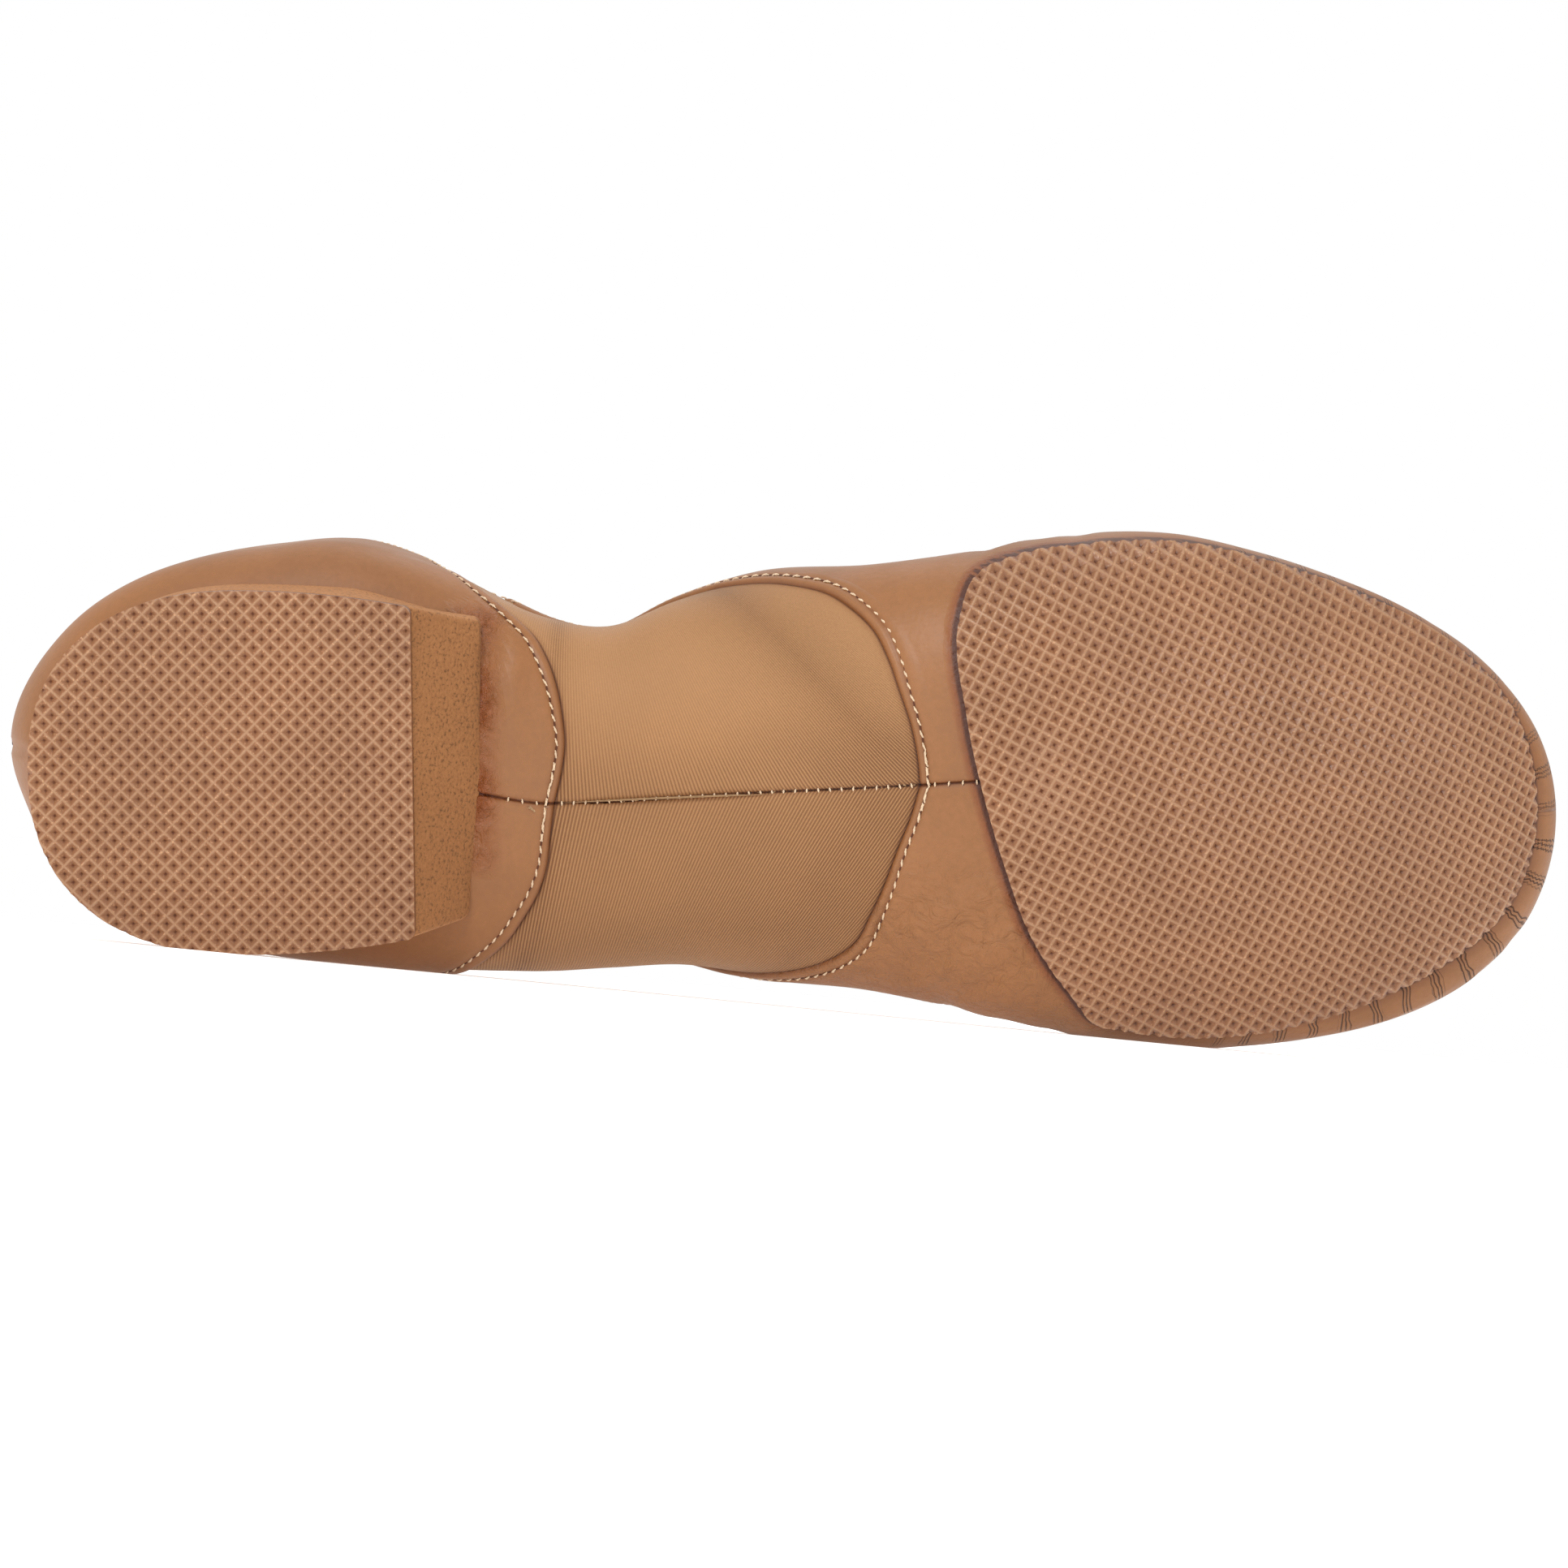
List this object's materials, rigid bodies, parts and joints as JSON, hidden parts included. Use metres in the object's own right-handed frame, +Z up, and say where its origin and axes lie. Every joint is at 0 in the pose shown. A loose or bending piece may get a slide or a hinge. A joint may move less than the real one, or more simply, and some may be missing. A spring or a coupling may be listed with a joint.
{
  "type": "jazz shoe",
  "caption": "Right slip-on jazz shoe lying on its side: leather upper with a stretch arch panel, low block heel with rubber cap, rubber forefoot patch, insole.",
  "frame": {"origin": "middle of the bounding box, on the surface that the shoe lies on", "axes": "+Z up; +X towards the toe, level; the sole faces -Y and looks 10 degrees down; the lateral side is up"},
  "size_m": [0.2498, 0.08, 0.0814],
  "materials": {
    "upper_leather": "smooth tan leather and lighter stretch arch panel",
    "patch_rubber": "matt pitted tan rubber",
    "heel_foam": "sanded matt foam",
    "cap_rubber": "matt pitted tan rubber",
    "insole_lining": "napped lining over foam"
  },
  "bodies": {
    "root": {"upper": "upper_leather", "forefoot_patch": "patch_rubber", "heel_block": "heel_foam", "heel_cap": "cap_rubber", "insole": "insole_lining"}
  },
  "joints": []
}
